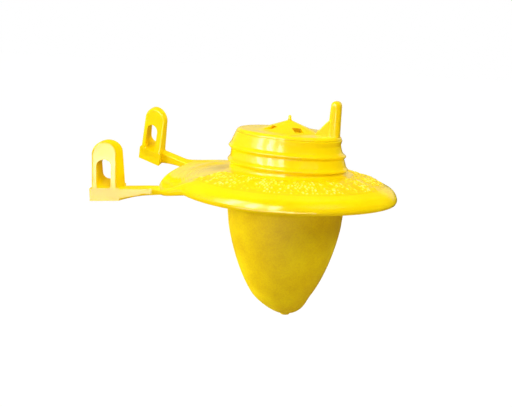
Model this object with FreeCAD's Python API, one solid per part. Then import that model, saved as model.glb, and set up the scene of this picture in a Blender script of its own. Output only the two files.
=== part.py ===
import FreeCAD, Part
import math
import os

from FreeCAD import Vector

# Hanging pheromone trap: a hat-shaped hood with two strap arms, a lure cap on top and a
# catch cup below.  All lengths are millimetres and all angles are degrees.
# Each piece is drawn about the common axis of hood, cap and cup, with the brim's lower edge at
# z = 0, the two strap arms to -X and the cap's pull tab to +X.  The whole trap is then moved so
# that the origin lies midway between the slots of the two lugs, on the line of the strap that
# holds it.  +Z stays up.

UP = Vector(0, 0, 1)
ORIGIN = Vector(0, 0, 0)

# --- clearances -------------------------------------------------------------------------
SEAT_GAP = 0.3          # between pieces that slide or bend past each other
SNUG_GAP = 0.15         # radial, between pieces that are pushed together and stay put
ROOT_GAP = 0.5          # between an arm's rounded root and the edge of the web

# --- hood: neck -------------------------------------------------------------------------
NECK_R = 22.2           # outside of the neck's plain wall, at its foot
NECK_TAPER = 1.3        # how much the plain wall draws in up to the collar
NECK_WALL = 1.8
NECK_FOOT_Z = 9.4       # where the neck's wall meets the brim's top
FOOT_FILLET = 1.7
LOWER_BEAD_Z = 13.6
UPPER_BEAD_Z = 18.9
BEAD_PROUD = 0.9        # how far a bead stands out of the wall
BEAD_HALF = 1.15        # half of a bead's height
SNAP_GROOVE = 0.45      # depth of the groove behind each bead, in the bore
COLLAR_TOP_R = 20.0
COLLAR_TOP_Z = 23.7
COLLAR_EDGE = 0.5       # rounding of the collar's top edge
MOUTH_R = 17.6          # opening in the collar's top that takes the cap's plug
MOUTH_LIP = 1.3         # height of the land inside that opening

# --- hood: brim -------------------------------------------------------------------------
BRIM_R = 42.4
BRIM_WALL = 2.1
BRIM_DROP = 3.5         # fall of the top surface from the neck to the start of the lip
BRIM_DOME = 0.2         # how much of that fall is put off towards the lip
LIP_R = 38.2            # where the rolled lip starts
LIP_UNDERCUT = 2.4      # radial thickness of the lip at its lower edge

# --- hood: web that carries the arms ----------------------------------------------------
ARM_BEARING = 19.6      # each arm's bearing away from -X
WEB_R = 48.8            # reach of the web between the arms
WEB_TOP_Z = 5.1         # top of the web's edge, and of the arms
WEB_WALL = 2.1
WEB_SPREAD = 24.0       # half angle over which the web has its full reach
WEB_FADE = 18.0         # angle over which the web's flank runs back into the round brim
REAR_FADE = 50.0        # the same for the twist on the rear flank, which stands higher
EDGE_RISE = 1.6         # how far the brim's edge is raised beside the web
RISE_FADE = 76.0        # angle over which that rise dies out
WEB_START = 0.7         # share of the web's reach that is taken up by the start of the lip
WEB_FALL = 0.75         # share of its drop to the web's edge that the top makes on the way there
WING_TWIST = 9.3        # twist of web and arms about X, as the soft moulding has set

# --- strap arms and their slotted lugs ----------------------------------------------------
LUG_REACH = 68.2        # from the trap's axis to the middle of a lug
ARM_WIDTH = 4.2
ARM_ROOT_DEPTH = 2.2
ARM_WAIST_DEPTH = 2.1
ARM_END_DEPTH = 4.6
FRONT_ARM_SET = 0.8     # how far each arm stands above the web's plane at rest
REAR_ARM_SET = 10.0
BLOCK_LENGTH = 10.4     # along X
BLOCK_DEPTH = 6.8       # across the arm, also the lug's thickness at its foot
BLOCK_HEIGHT = 5.0
LUG_WIDTH = 9.7         # along X
LUG_HEIGHT = 17.6
LUG_TIP_DEPTH = 3.7     # the lug's thickness at its crown
SLOT_WIDTH = 5.8
SLOT_HEIGHT = 11.2
LUG_EDGE = 0.6

# --- cap ----------------------------------------------------------------------------------
CAP_R = 19.4
CAP_FLANGE = 1.3
CAP_EDGE = 0.9          # rounding of the flange's upper edge
CAP_WALL = 1.4
PLUG_DEPTH = 5.8
ROOF_R = 11.0           # foot of the low cone over the lure
ROOF_RISE = 4.3
NUB_R = 0.6
NUB_HEIGHT = 1.7
VENT_WIDTH = 4.0
VENT_HEIGHT = 1.5
VENT_SILL = 0.5         # from the flange's top up to a vent
VENT_PLACES = 6         # evenly round the cone
SOCKET_DEPTH = 3.9      # collar under the cap that holds the cage
TAB_HEIGHT = 12.6       # above the flange's top
TAB_THICK = 4.3         # along X
TAB_WIDTH = 6.6         # along Y
TAB_EDGE = 1.2
GUSSET_HEIGHT = 4.8     # where the gusset meets the tab

# --- lure cage and lure -------------------------------------------------------------------
CAGE_R = 8.6
CAGE_WALL = 1.2
CAGE_COLLAR_R = 9.8
CAGE_COLLAR = 3.4
CAGE_LENGTH = 23.6      # from the top of its collar to its floor's underside
CAGE_SLOTS = 10
CAGE_SLOT_WIDTH = 2.4
CAGE_SLOT_MARGIN = 2.6  # plain wall above and below the slots
CAGE_DRAIN_R = 2.0
LURE_HEAD_R = 5.4
LURE_HEAD_HEIGHT = 6.5
LURE_STEM_R = 3.7
LURE_LENGTH = 15.5
LURE_WELL_R = 3.0
LURE_WELL_DEPTH = 5.0

# --- entry ring ---------------------------------------------------------------------------
SPIGOT_WALL = 1.5
SPIGOT_RISE = 9.4       # from the ring's shoulder into the neck
SPIGOT_BEAD = 0.2
PORT_COUNT = 6
PORT_SILL_Z = -1.2
POST_WIDTH = 5.6
POST_DEPTH = 1.7
RING_SHOULDER = 1.6
SKIRT_WALL = 1.4
SKIRT_DEPTH = 6.8

# --- no-return funnel ---------------------------------------------------------------------
FUNNEL_WALL = 1.2
FUNNEL_LEDGE = 1.4      # wall of the ledge that the funnel's flange hangs from
FUNNEL_DEPTH = 13.0
SPOUT_R = 4.6
SPOUT_LENGTH = 4.5

# --- catch cup ----------------------------------------------------------------------------
CUP_R = 22.6
CUP_WALL = 1.5
CUP_RIM_Z = -2.7
CUP_BARREL_DRAFT = 0.4  # how much the upper barrel draws in
CUP_BARREL_Z = -9.6     # where the barrel ends and the bullet nose begins
CUP_TIP_Z = -46.0
NOSE_FULLNESS = 1.25
NOSE_POINT = 0.49
GATE_R = 1.8
GATE_HEIGHT = 0.5

# --- derived levels and radii ---------------------------------------------------------------
BORE_R = NECK_R - NECK_TAPER / 2 - NECK_WALL
UNDERSIDE_Z = NECK_FOOT_Z - BRIM_WALL
SPIGOT_R = BORE_R - SEAT_GAP
SHOULDER_Z = UNDERSIDE_Z - SEAT_GAP
CAP_SEAT_Z = COLLAR_TOP_Z
CAP_TOP_Z = CAP_SEAT_Z + CAP_FLANGE
PLUG_R = MOUTH_R - SEAT_GAP
SOCKET_R = CAGE_COLLAR_R + SNUG_GAP
CAGE_TOP_Z = CAP_SEAT_Z - SNUG_GAP
CAGE_FLOOR_Z = CAGE_TOP_Z - CAGE_LENGTH
RING_FLOOR_Z = CUP_RIM_Z + SEAT_GAP
SKIRT_R = CUP_R - CUP_BARREL_DRAFT - CUP_WALL - SEAT_GAP
LEDGE_Z = RING_FLOOR_Z - FUNNEL_LEDGE
FUNNEL_R = SKIRT_R - SKIRT_WALL - SNUG_GAP
MOUTH_INNER_R = FUNNEL_R - FUNNEL_WALL
HINGE_R = WEB_R + ARM_ROOT_DEPTH / 2 + ROOT_GAP
STRAP_X = -LUG_REACH * math.cos(math.radians(ARM_BEARING))
STRAP_Z = WEB_TOP_Z + SLOT_HEIGHT / 2


def point(radius, height):
    """A point of a section in the XZ plane."""
    return Vector(radius, 0, height)


def polar(radius, bearing, height=0.0):
    angle = math.radians(bearing)
    return Vector(radius * math.cos(angle), radius * math.sin(angle), height)


def outline(*runs):
    """A closed wire from runs: a point goes on by a straight line, a pair (middle, end) by an arc."""
    edges = []
    last = runs[0]
    for run in runs[1:] + (runs[0],):
        if isinstance(run, tuple):
            edges.append(Part.Arc(last, run[0], run[1]).toShape())
            last = run[1]
        elif last.distanceToPoint(run) > 1e-6:
            edges.append(Part.LineSegment(last, run).toShape())
            last = run
    return Part.Wire(edges)


def revolved(wire):
    return Part.Face(wire).revolve(ORIGIN, UP, 360)


def radial_block(inner_r, outer_r, width, low_z, high_z, bearing):
    """A block that lies across a wall at one bearing, to cut a window through it."""
    block = Part.makeBox(outer_r - inner_r, width, high_z - low_z, Vector(inner_r, -width / 2, low_z))
    block.rotate(ORIGIN, UP, bearing)
    return block


def neck_wall_r(height):
    """Outside radius of the neck's plain wall, which draws in a little towards the collar."""
    share = (height - NECK_FOOT_Z) / (COLLAR_TOP_Z - NECK_FOOT_Z)
    return NECK_R - NECK_TAPER * share


def bead(centre_z):
    """Start of a bead on the neck, and the arc over it."""
    low_z = centre_z - BEAD_HALF
    high_z = centre_z + BEAD_HALF
    crest = point(neck_wall_r(centre_z) + BEAD_PROUD, centre_z)
    return point(neck_wall_r(low_z), low_z), (crest, point(neck_wall_r(high_z), high_z))


def snap_groove(centre_z):
    """The groove behind a bead, from its top to its bottom."""
    top = point(BORE_R, centre_z + BEAD_HALF)
    return top, (point(BORE_R + SNAP_GROOVE, centre_z), point(BORE_R, centre_z - BEAD_HALF))


def neck():
    lower_start, lower_arc = bead(LOWER_BEAD_Z)
    upper_start, upper_arc = bead(UPPER_BEAD_Z)
    fillet_r = neck_wall_r(NECK_FOOT_Z) + FOOT_FILLET
    fillet_middle = point(fillet_r - FOOT_FILLET * math.sin(math.pi / 4),
                          NECK_FOOT_Z + FOOT_FILLET * (1 - math.cos(math.pi / 4)))
    fillet_end = point(neck_wall_r(NECK_FOOT_Z + FOOT_FILLET), NECK_FOOT_Z + FOOT_FILLET)
    bend = COLLAR_EDGE * math.sin(math.pi / 4)
    edge_middle = point(COLLAR_TOP_R - COLLAR_EDGE + bend, COLLAR_TOP_Z - COLLAR_EDGE + bend)
    inner_land_z = COLLAR_TOP_Z - MOUTH_LIP
    upper_groove, upper_groove_arc = snap_groove(UPPER_BEAD_Z)
    lower_groove, lower_groove_arc = snap_groove(LOWER_BEAD_Z)
    return revolved(outline(
        point(BORE_R, UNDERSIDE_Z),
        point(fillet_r, UNDERSIDE_Z),
        point(fillet_r, NECK_FOOT_Z),
        (fillet_middle, fillet_end),
        lower_start, lower_arc, upper_start, upper_arc,
        point(COLLAR_TOP_R, COLLAR_TOP_Z - COLLAR_EDGE),
        (edge_middle, point(COLLAR_TOP_R - COLLAR_EDGE, COLLAR_TOP_Z)),
        point(MOUTH_R, COLLAR_TOP_Z),
        point(MOUTH_R, inner_land_z),
        point(BORE_R, UPPER_BEAD_Z + BEAD_HALF + SEAT_GAP),
        upper_groove, upper_groove_arc,
        lower_groove, lower_groove_arc))


def web_share(bearing, fade):
    """1 in the web around -X, 0 on the round part of the brim, with a smooth fade between them."""
    away = abs((bearing % 360) - 180)
    share = min(1.0, max(0.0, (WEB_SPREAD + fade - away) / fade))
    return share * share * (3 - 2 * share)


def brim_ring(radius, height, reach, web_z):
    """One closed curve of the brim's skin.

    radius and height hold on the round part.  In the web the curve moves out by the given
    share of the web's reach and to the height web_z, and leans with the wing's twist.
    """
    step = 5
    points = []
    for bearing in range(0, 360, step):
        share = web_share(bearing, WEB_FADE)
        twist = web_share(bearing, WEB_FADE if bearing > 180 else REAR_FADE)
        rise = (1 - share) * EDGE_RISE * web_share(bearing, RISE_FADE)
        ring_r = radius + share * reach * (WEB_R - BRIM_R)
        lean = twist * math.tan(math.radians(WING_TWIST))
        spot = polar(ring_r, bearing)
        spot.z = height + share * (web_z - height) + reach * (rise + lean * spot.y)
        points.append(spot)
    curve = Part.BSplineCurve()
    curve.interpolate(points, True)
    return Part.Wire(curve.toShape())


def top_height(share):
    """Height of the brim's gently domed top at a share of the way from the neck to the lip."""
    return NECK_FOOT_Z - BRIM_DROP * (1 - BRIM_DOME * (1 - share)) * share


def brim():
    """The brim with its web, as one skin lofted from the neck out to the lip and back under.

    Each ring is (radius, height, share of the web's reach, height in the web).
    """
    run = LIP_R - NECK_R
    top = []
    for share in (0.0, 0.35, 0.7):
        web_z = NECK_FOOT_Z - (NECK_FOOT_Z - WEB_TOP_Z) * WEB_FALL * share
        top.append((NECK_R + run * share, top_height(share), WEB_START * share ** 2, web_z))
    lip_z = top_height(1)
    bulge = BRIM_R - LIP_R
    web_floor = WEB_TOP_Z - WEB_WALL
    lip = [
        (LIP_R, lip_z, WEB_START, WEB_TOP_Z + 0.4 * WEB_WALL),
        (LIP_R + 0.55 * bulge, lip_z * 0.78, 0.88, WEB_TOP_Z + 0.15 * WEB_WALL),
        (LIP_R + 0.87 * bulge, lip_z * 0.5, 0.97, WEB_TOP_Z),
        (BRIM_R, lip_z * 0.22, 1.0, WEB_TOP_Z - 0.35 * WEB_WALL),
        (BRIM_R - 0.15 * LIP_UNDERCUT, lip_z * 0.03, 1.0, WEB_TOP_Z - 0.8 * WEB_WALL),
        (BRIM_R - 0.3 * LIP_UNDERCUT, 0.0, 0.97, web_floor),
        (BRIM_R - LIP_UNDERCUT, lip_z * 0.03, 0.9, web_floor),
        (LIP_R + 0.2 * bulge, lip_z * 0.45, 0.8, web_floor + 0.1 * WEB_WALL),
        (LIP_R - 0.6 * BRIM_WALL, lip_z - 0.75 * BRIM_WALL, 0.6, web_floor + 0.35 * WEB_WALL),
    ]
    under = [(radius, height - BRIM_WALL, reach, web_z - BRIM_WALL)
             for radius, height, reach, web_z in reversed(top)]
    return Part.makeLoft([brim_ring(*ring) for ring in top + lip + under], True, True)


def hood():
    bore = Part.makeCylinder(BORE_R, NECK_FOOT_Z, ORIGIN)
    return brim().fuse(neck()).cut(bore)


def arch(width, height):
    """Face outline of a lug or of its slot: upright sides under a full round top."""
    half = width / 2
    spring_z = height - half
    return outline(point(-half, 0), point(half, 0), point(half, spring_z),
                   (point(0, height), point(-half, spring_z)))


def extruded_about_middle(wire, depth):
    """The face of a wire in the XZ plane, thickened along Y to both sides."""
    face = Part.Face(wire)
    face.translate(Vector(0, -depth / 2, 0))
    return face.extrude(Vector(0, depth, 0))


def across_arm(side, length, foot_depth, crown_depth, height):
    """Long prism along an arm's direction, foot_depth thick at z = 0 and crown_depth at height."""
    foot = foot_depth / 2
    crown = crown_depth / 2
    section = Part.makePolygon([
        Vector(-length / 2, -foot, 0), Vector(-length / 2, foot, 0),
        Vector(-length / 2, crown, height), Vector(-length / 2, -crown, height),
        Vector(-length / 2, -foot, 0)])
    prism = Part.Face(section).extrude(Vector(length, 0, 0))
    prism.rotate(ORIGIN, UP, -side * ARM_BEARING)
    return prism


def lug(side):
    """Slotted lug on the plane z = 0: its ends and its slot run along Y, its faces along the arm."""
    reach = 3 * LUG_WIDTH
    wedge = across_arm(side, reach, BLOCK_DEPTH, LUG_TIP_DEPTH, LUG_HEIGHT)
    body = extruded_about_middle(arch(LUG_WIDTH, LUG_HEIGHT), reach).common(wedge)
    rims = [edge for edge in body.Edges
            if edge.CenterOfMass.z > LUG_EDGE and abs(edge.CenterOfMass.y) > LUG_EDGE]
    body = body.makeFillet(LUG_EDGE, rims)
    return body.cut(extruded_about_middle(arch(SLOT_WIDTH, SLOT_HEIGHT), reach))


def block(side):
    """Pad under a lug, its top at z = 0."""
    depth = across_arm(side, 3 * BLOCK_LENGTH, BLOCK_DEPTH, BLOCK_DEPTH, BLOCK_HEIGHT)
    length = Part.makeBox(BLOCK_LENGTH, 3 * BLOCK_LENGTH, BLOCK_HEIGHT,
                          Vector(-BLOCK_LENGTH / 2, -1.5 * BLOCK_LENGTH, 0))
    pad = depth.common(length)
    pad.translate(Vector(0, 0, -BLOCK_HEIGHT))
    uprights = [edge for edge in pad.Edges if edge.BoundBox.ZLength > LUG_EDGE]
    return pad.makeFillet(LUG_EDGE, uprights)


def arm_bar():
    """Arm from its rounded root at the hinge line out along +X, thinnest at its waist."""
    length = LUG_REACH - HINGE_R
    top = ARM_ROOT_DEPTH / 2
    side = outline(
        point(0, top), point(length, top), point(length, top - ARM_END_DEPTH),
        (point(0.45 * length, top - ARM_WAIST_DEPTH), point(0, -top)),
        (point(-top, 0), point(0, top)))
    return extruded_about_middle(side, ARM_WIDTH)


def hinge_point(side):
    """Middle of an arm's hinge line in the untwisted web: the bar lies flush with the lug's outer face."""
    offset = (BLOCK_DEPTH - ARM_WIDTH) / 2
    along = polar(HINGE_R, 180 - side * ARM_BEARING, WEB_TOP_Z - ARM_ROOT_DEPTH / 2)
    return along + polar(offset, side * (90 - ARM_BEARING))


def strap_arm(side, set_angle):
    """One arm with its lug: side is -1 for the front (-Y) and +1 for the rear."""
    bearing = 180 - side * ARM_BEARING
    hinge = hinge_point(side)
    bar = arm_bar()
    bar.rotate(ORIGIN, UP, bearing)
    bar.translate(hinge)
    foot = polar(LUG_REACH, bearing, WEB_TOP_Z)
    pad = block(side)
    pad.translate(foot)
    eye = lug(side)
    eye.translate(foot)
    arm = bar.fuse([pad, eye]).removeSplitter()
    arm.rotate(hinge, polar(1, bearing).cross(UP), set_angle)
    arm.rotate(Vector(0, 0, WEB_TOP_Z), Vector(1, 0, 0), WING_TWIST)
    return arm


def roof_z(radius, drop=0.0):
    """Height of the cap's low cone at a radius, or of its inside when lowered by drop."""
    return CAP_TOP_Z + ROOF_RISE * (1 - radius / ROOF_R) - drop


def pull_tab():
    """Upright tab at the cap's edge with a gusset that runs in to the foot of the cone."""
    inner_x = CAP_R - TAB_THICK
    crown_z = CAP_TOP_Z + TAB_HEIGHT
    crown_r = TAB_THICK / 2
    wire = outline(
        point(ROOF_R - CAP_EDGE, CAP_SEAT_Z + CAP_FLANGE / 2),
        point(CAP_R, CAP_SEAT_Z + CAP_FLANGE / 2),
        point(CAP_R, crown_z - crown_r),
        (point(inner_x + crown_r, crown_z), point(inner_x, crown_z - crown_r)),
        point(inner_x, CAP_TOP_Z + GUSSET_HEIGHT),
        point(ROOF_R - CAP_EDGE, roof_z(ROOF_R - CAP_EDGE)))
    tab = extruded_about_middle(wire, TAB_WIDTH)
    rims = [edge for edge in tab.Edges
            if abs(edge.CenterOfMass.y) > TAB_WIDTH / 2 - 0.01
            and edge.BoundBox.ZMax > CAP_TOP_Z + GUSSET_HEIGHT + TAB_EDGE]
    return tab.makeFillet(TAB_EDGE, rims)


def top_cap():
    edge_middle = CAP_EDGE * (1 - math.sin(math.pi / 4))
    roof_drop = CAP_WALL * math.hypot(1, ROOF_RISE / ROOF_R)
    socket_outer = SOCKET_R + CAP_WALL
    plug_inner = PLUG_R - CAP_WALL
    plug_z = CAP_SEAT_Z - PLUG_DEPTH
    socket_z = CAP_SEAT_Z - SOCKET_DEPTH
    cap = revolved(outline(
        point(0, roof_z(0)), point(ROOF_R, CAP_TOP_Z),
        point(CAP_R - CAP_EDGE, CAP_TOP_Z),
        (point(CAP_R - edge_middle, CAP_TOP_Z - edge_middle), point(CAP_R, CAP_TOP_Z - CAP_EDGE)),
        point(CAP_R, CAP_SEAT_Z), point(PLUG_R, CAP_SEAT_Z),
        point(PLUG_R, plug_z), point(plug_inner, plug_z),
        point(plug_inner, CAP_SEAT_Z), point(socket_outer, CAP_SEAT_Z),
        point(socket_outer, socket_z), point(SOCKET_R, socket_z),
        point(SOCKET_R, roof_z(SOCKET_R, roof_drop)), point(0, roof_z(0, roof_drop))))
    nub = Part.makeCylinder(NUB_R, NUB_HEIGHT + CAP_WALL, Vector(0, 0, roof_z(0) - CAP_WALL))
    cap = cap.fuse([nub, pull_tab()])
    sill_z = CAP_TOP_Z + VENT_SILL
    for place in range(1, VENT_PLACES):     # the tab's gusset stands in the first place
        cap = cap.cut(radial_block(ROOF_R / 2, ROOF_R, VENT_WIDTH, sill_z, sill_z + VENT_HEIGHT,
                                   360 / VENT_PLACES * place))
    return cap.removeSplitter()


def lure_cage():
    """Slotted basket that hangs in the cap's socket."""
    inner = CAGE_R - CAGE_WALL
    collar_z = CAGE_TOP_Z - CAGE_COLLAR
    floor_z = CAGE_FLOOR_Z + CAGE_WALL
    bend = CAGE_WALL * (1 - math.sin(math.pi / 4))
    cage = revolved(outline(
        point(inner, CAGE_TOP_Z), point(CAGE_COLLAR_R, CAGE_TOP_Z),
        point(CAGE_COLLAR_R, collar_z), point(CAGE_R, collar_z),
        point(CAGE_R, floor_z),
        (point(CAGE_R - bend, CAGE_FLOOR_Z + bend), point(inner, CAGE_FLOOR_Z)),
        point(CAGE_DRAIN_R, CAGE_FLOOR_Z), point(CAGE_DRAIN_R, floor_z), point(inner, floor_z)))
    for index in range(CAGE_SLOTS):
        cage = cage.cut(radial_block(
            inner - CAGE_WALL, CAGE_R + CAGE_WALL, CAGE_SLOT_WIDTH,
            floor_z + CAGE_SLOT_MARGIN, collar_z - CAGE_SLOT_MARGIN, 360 / CAGE_SLOTS * index))
    return cage


def pheromone_lure():
    """Rubber septum: a stopper with a well in its head, standing on the cage's floor."""
    foot_z = CAGE_FLOOR_Z + CAGE_WALL
    top_z = foot_z + LURE_LENGTH
    neck_z = top_z - LURE_HEAD_HEIGHT
    return revolved(outline(
        point(0, foot_z), point(LURE_STEM_R, foot_z), point(LURE_STEM_R, neck_z),
        point(LURE_HEAD_R, neck_z), point(LURE_HEAD_R, top_z), point(LURE_WELL_R, top_z),
        point(LURE_WELL_R, top_z - LURE_WELL_DEPTH), point(0, top_z - LURE_WELL_DEPTH)))


def entry_ring():
    """Ring with the insects' entry ports: its spigot goes up into the neck, its skirt into the cup."""
    spigot_inner = SPIGOT_R - SPIGOT_WALL
    spigot_top = SHOULDER_Z + SPIGOT_RISE
    port_top = SHOULDER_Z - RING_SHOULDER
    gallery_inner = CUP_R - POST_DEPTH
    skirt_inner = SKIRT_R - SKIRT_WALL
    skirt_z = RING_FLOOR_Z - SKIRT_DEPTH
    ring = revolved(outline(
        point(spigot_inner, spigot_top), point(SPIGOT_R, spigot_top),
        point(SPIGOT_R, LOWER_BEAD_Z + BEAD_HALF),
        (point(SPIGOT_R + SPIGOT_BEAD, LOWER_BEAD_Z), point(SPIGOT_R, LOWER_BEAD_Z - BEAD_HALF)),
        point(SPIGOT_R, SHOULDER_Z), point(CUP_R, SHOULDER_Z),
        point(CUP_R, RING_FLOOR_Z), point(SKIRT_R, RING_FLOOR_Z),
        point(SKIRT_R, skirt_z), point(skirt_inner, skirt_z),
        point(skirt_inner, LEDGE_Z), point(MOUTH_INNER_R, LEDGE_Z),
        point(MOUTH_INNER_R, PORT_SILL_Z), point(gallery_inner, PORT_SILL_Z),
        point(gallery_inner, port_top), point(spigot_inner, port_top)))
    port_angle = math.pi / PORT_COUNT - POST_WIDTH / 2 / CUP_R
    port_width = 2 * gallery_inner * math.sin(port_angle)
    for index in range(PORT_COUNT):
        ring = ring.cut(radial_block(
            gallery_inner / 2 + MOUTH_INNER_R / 2, CUP_R + POST_DEPTH, port_width,
            PORT_SILL_Z, port_top, 360 / PORT_COUNT * (index + 0.5)))
    return ring


def no_return_funnel():
    throat_z = LEDGE_Z - FUNNEL_DEPTH
    spout_z = throat_z - SPOUT_LENGTH
    flange_z = LEDGE_Z - FUNNEL_WALL
    return revolved(outline(
        point(MOUTH_INNER_R, LEDGE_Z), point(FUNNEL_R, LEDGE_Z), point(FUNNEL_R, flange_z),
        point(MOUTH_INNER_R, flange_z), point(SPOUT_R + FUNNEL_WALL, throat_z),
        point(SPOUT_R + FUNNEL_WALL, spout_z), point(SPOUT_R, spout_z),
        point(SPOUT_R, throat_z)))


def nose_r(height):
    """Outside radius of the cup's bullet nose at a height below its barrel."""
    share = (height - CUP_BARREL_Z) / (CUP_TIP_Z - CUP_BARREL_Z)
    return (CUP_R - CUP_BARREL_DRAFT) * (1 - share ** NOSE_FULLNESS) ** NOSE_POINT


def cup_skin(inset):
    """Section edge of the cup from its rim down to the axis, moved in from the outside by inset."""
    rim = point(CUP_R - inset, CUP_RIM_Z)
    barrel = point(CUP_R - CUP_BARREL_DRAFT - inset, CUP_BARREL_Z)
    stops = [barrel]
    steps = 8
    for step in range(1, steps):
        height = CUP_BARREL_Z + (CUP_TIP_Z - CUP_BARREL_Z) * math.sin(math.pi / 2 * step / steps)
        slope = (nose_r(height + 0.01) - nose_r(height - 0.01)) / 0.02
        inward = Vector(-1, 0, slope).normalize()
        stops.append(point(nose_r(height), height) + inward * inset)
    stops.append(point(0, CUP_TIP_Z + inset))
    curve = Part.BSplineCurve()
    curve.interpolate(Points=stops, InitialTangent=barrel - rim, FinalTangent=Vector(-1, 0, 0))
    return rim, curve


def catch_cup():
    outer_rim, outer = cup_skin(0)
    inner_rim, inner = cup_skin(CUP_WALL)
    wall = Part.Wire([
        Part.LineSegment(outer_rim, outer.StartPoint).toShape(), outer.toShape(),
        Part.LineSegment(outer.EndPoint, inner.EndPoint).toShape(), inner.toShape(),
        Part.LineSegment(inner.StartPoint, inner_rim).toShape(),
        Part.LineSegment(inner_rim, outer_rim).toShape()])
    gate = Part.makeCylinder(GATE_R, GATE_HEIGHT + CUP_WALL / 2,
                             Vector(0, 0, CUP_TIP_Z - GATE_HEIGHT))
    return revolved(wall).fuse(gate)


def main():
    os.makedirs("parts", exist_ok=True)
    pieces = {
        "hood": hood(),
        "front_arm": strap_arm(-1, FRONT_ARM_SET),
        "rear_arm": strap_arm(1, REAR_ARM_SET),
        "top_cap": top_cap(),
        "lure_cage": lure_cage(),
        "pheromone_lure": pheromone_lure(),
        "entry_ring": entry_ring(),
        "no_return_funnel": no_return_funnel(),
        "catch_cup": catch_cup(),
    }
    for name, shape in pieces.items():
        shape.translate(Vector(-STRAP_X, 0, -STRAP_Z))
        shape.exportStep("parts/" + name + ".step")
        print(name, shape.isValid(), len(shape.Solids), round(shape.Volume, 1))


main()
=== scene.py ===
import math

import bpy
import numpy as np
from mathutils import Matrix, Vector, noise


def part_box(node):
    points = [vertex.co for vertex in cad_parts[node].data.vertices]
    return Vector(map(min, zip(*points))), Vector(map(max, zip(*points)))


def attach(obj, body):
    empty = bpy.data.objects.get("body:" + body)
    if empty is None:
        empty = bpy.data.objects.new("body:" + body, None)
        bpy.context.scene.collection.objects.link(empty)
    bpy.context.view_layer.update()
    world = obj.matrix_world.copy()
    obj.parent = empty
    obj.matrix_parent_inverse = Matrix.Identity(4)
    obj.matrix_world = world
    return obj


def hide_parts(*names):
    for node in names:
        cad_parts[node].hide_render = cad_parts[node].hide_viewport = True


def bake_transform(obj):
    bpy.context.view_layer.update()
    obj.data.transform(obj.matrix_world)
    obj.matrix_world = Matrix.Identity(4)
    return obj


# Looks of the hanging insect trap.  The CAD frame is in metres.  Here shapes are drawn in
# millimetres about the trap's axis, with z = 0 at the brim's lower edge, and placed by DATUM.

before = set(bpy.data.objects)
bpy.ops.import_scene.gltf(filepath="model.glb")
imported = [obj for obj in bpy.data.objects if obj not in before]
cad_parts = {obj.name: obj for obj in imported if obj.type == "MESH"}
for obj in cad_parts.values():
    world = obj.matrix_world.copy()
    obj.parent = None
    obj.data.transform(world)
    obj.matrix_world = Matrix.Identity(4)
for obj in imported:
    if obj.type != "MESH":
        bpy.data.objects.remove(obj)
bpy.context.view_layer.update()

MM = 0.001
CUP_LOW, CUP_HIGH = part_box("catch_cup")
CUP_RIM_Z = -2.7
DATUM = np.array([(CUP_LOW.x + CUP_HIGH.x) / 2, (CUP_LOW.y + CUP_HIGH.y) / 2,
                  CUP_HIGH.z - CUP_RIM_Z * MM])
UP = Vector((0, 0, 1))
AXIS_R = 0.01                   # where a section that turns round the axis ends, just off it

# --- hood: neck -----------------------------------------------------------------------------------
BORE_R = 19.75
BORE_ROWS = (11.0, 15.5, 20.3)  # heights of the bore's rows, which keep its shading even
MOUTH_R = 17.6
MOUTH_CHAMFER = 0.25
MOUTH_LAND_Z = 22.4
COLLAR_TOP_Z = 23.8
COLLAR_R = 20.35
COLLAR_EDGE = 0.4
COLLAR_SLANT = 0.042            # fall of the collar's top, and of the cap on it, towards +X
SLANT_FOOT_Z = 19.5             # from where up the neck leans into that fall
NECK_WALL_STOPS = ((11.1, 22.2), (13.5, 21.95), (18.8, 21.0), (23.4, 20.35))    # height, radius
NECK_ROWS = 64
# the two beads are turns of one thread that runs down to the right and ends behind
THREAD_PITCH = 5.3
THREAD_TOP_Z = 20.83            # where the upper turn starts
THREAD_START = 90.0             # bearing
THREAD_FADE = 0.07              # share of a turn over which it rises from the wall
THREAD_PROUD = 0.5
THREAD_HALF = 0.24              # half of the bead's height, as a share of the pitch
THREAD_KEENNESS = 1.3           # 1 is a bead of round section, more a sharper one
THREAD_RUNOUT = 0.7             # height over which the wall's foot smooths it away
FLARE_PROUD = 0.7               # how far the wall above a turn swings out to meet it
FLARE_REACH = 0.8               # share of the pitch
FOOT_FILLET = 1.7
FILLET_HEIGHT = 1.3
NECK_BOW = 0.75                 # how far the wall's upper half stands towards -X
BOW_FOOT_Z = 13.9               # from where up it does so
BOW_RISE = 5.0                  # height over which the bow comes in above its foot
BOW_FALL = 3.0                  # height over which it goes again, below the collar's top

# --- hood: brim and web ---------------------------------------------------------------------------
NECK_R = 22.2
NECK_FOOT_Z = 9.9
BRIM_R = 42.4
BRIM_WALL = 2.1
BRIM_DROP = 4.0                 # fall of its top from the neck's foot to the lip
BRIM_DOME = 1.0                 # 0 is a straight cone, more a rounder top
LIP_R = 38.2
LIP_SAMPLES = 7                 # rows to each span of the lip's section
LIP_UNDERCUT = 2.4
WEB_R = 48.8
WEB_TOP_Z = 5.1
WEB_WALL = 2.1
WEB_SPREAD = 24.0               # degrees to either side of -X over which the web is whole
WEB_FADE = 18.0                 # degrees over which it goes over into the round brim
REAR_FADE = 50.0                # the same for its twist, on the rear side
EDGE_RISE = 1.6                 # how far the brim's edge rises beside the web
RISE_FADE = 76.0                # degrees over which it comes down again
WEB_START = 0.7                 # share of the web's reach at the brim's lip
WEB_FALL = 0.75                 # share of the web's fall that its inner part has
WING_TWIST = 9.3                # degrees by which web and arms tilt down to the front
PEBBLE_BAND = (24.8, 37.6)      # radii between which the brim's top is pebbled
PEBBLE_DEPTH = 0.42
PEBBLE_SIZE = (1.1, 1.7)        # round the axis, and outwards
PEBBLE_FADE = 1.2               # from the band's edges inwards, over which the pebbles rise
PEBBLE_GROOVE = 0.5             # width of the grooves between them, as a share of a cell
PATCH_SCALE = 0.35              # how fine the patches are in which pebbles are worn low
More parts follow.
